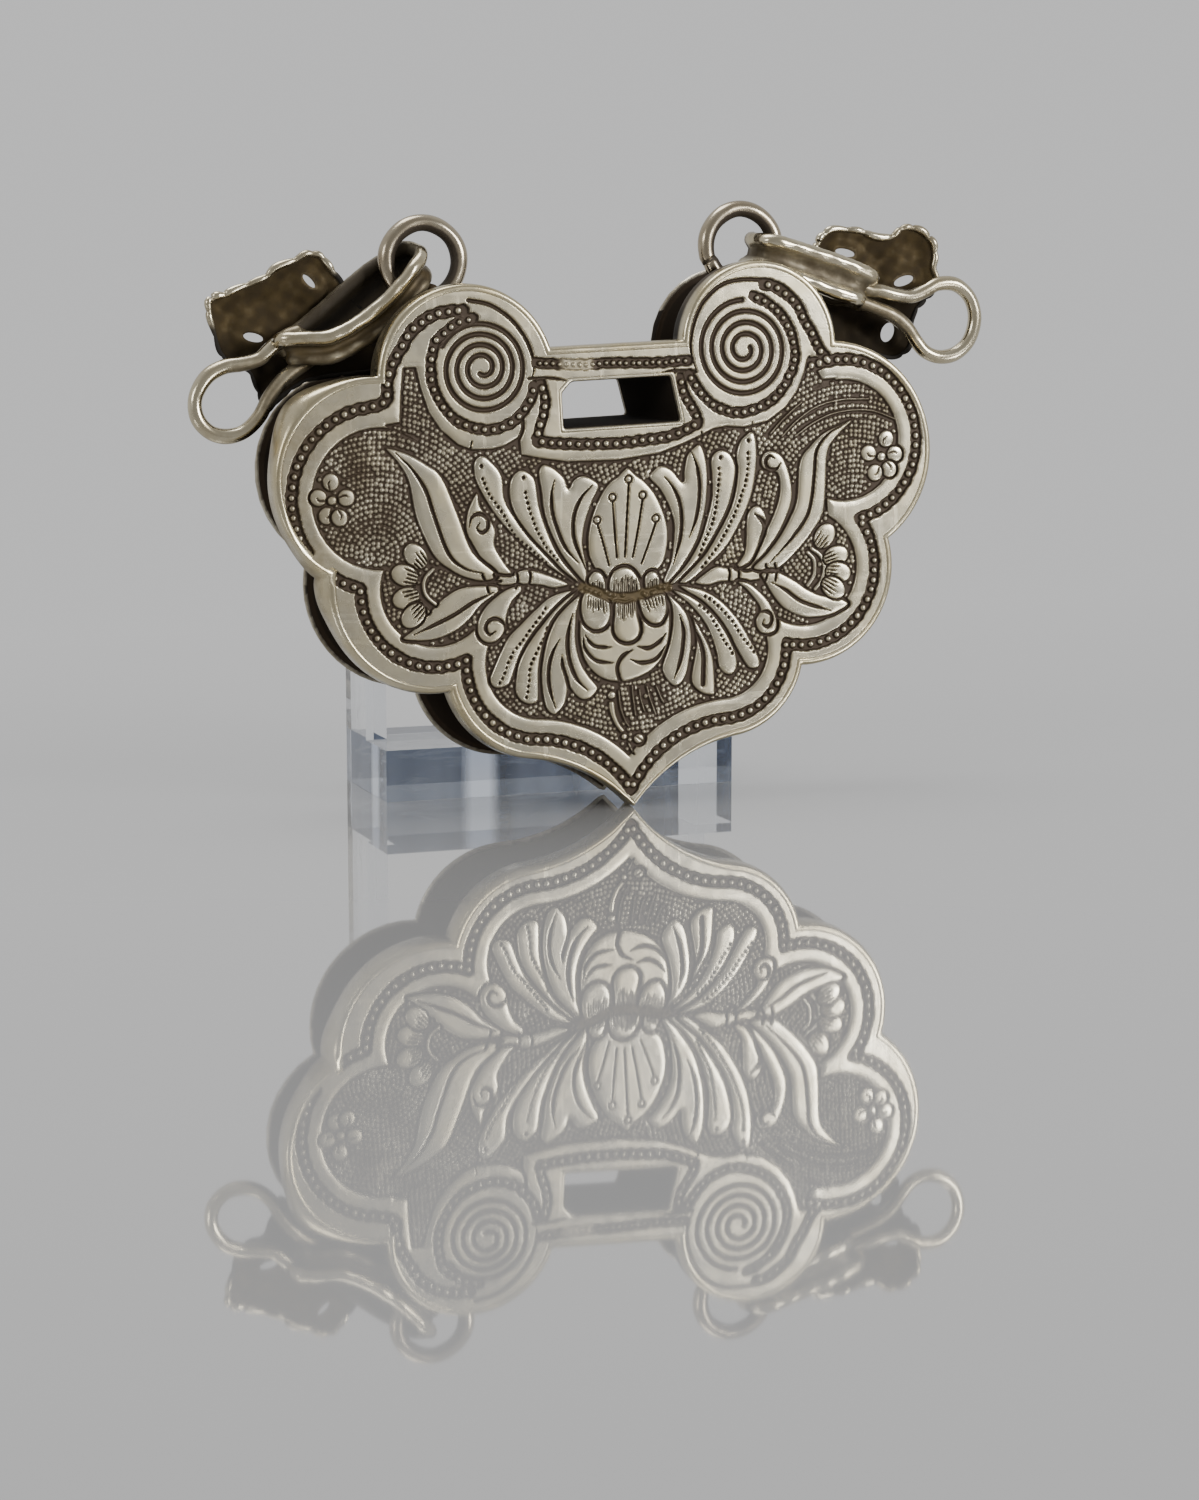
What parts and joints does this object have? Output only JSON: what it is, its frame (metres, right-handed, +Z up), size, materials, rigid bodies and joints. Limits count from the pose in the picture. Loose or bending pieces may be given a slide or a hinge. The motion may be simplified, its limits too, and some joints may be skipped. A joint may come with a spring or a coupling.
{
  "type": "ruyi lock talisman on a clear stand",
  "caption": "Hollow embossed lock pendant with a cloud-head outline, a slot under its bar, chain connectors on jump rings, leaning on a clear stand.",
  "frame": {"origin": "middle of the stand's underside, on the surface it rests on", "axes": "+X to the right seen from the front, the embossed front faces -Y, +Z up; the lock leans back by 2.5 degrees and is turned by 2.5 degrees in its own plane"},
  "size_m": [0.095, 0.0293, 0.0684],
  "materials": {
    "embossed_silver": "polished silver relief with dark oxide in the ground",
    "dark_silver": "tarnished silver",
    "plain_silver": "worn silver",
    "wire": "worn silver wire",
    "worn_silver": "worn silver with brown oxide inside",
    "clear_plastic": "clear acrylic, polished faces"
  },
  "bodies": {
    "root": {"front_plate": "embossed_silver", "side_wall": "dark_silver", "slot_lining": "dark_silver", "back_plate": "plain_silver", "jump_ring_left": "wire", "jump_ring_right": "wire", "connector_left": "worn_silver", "connector_right": "worn_silver", "stand": "clear_plastic"}
  },
  "joints": []
}
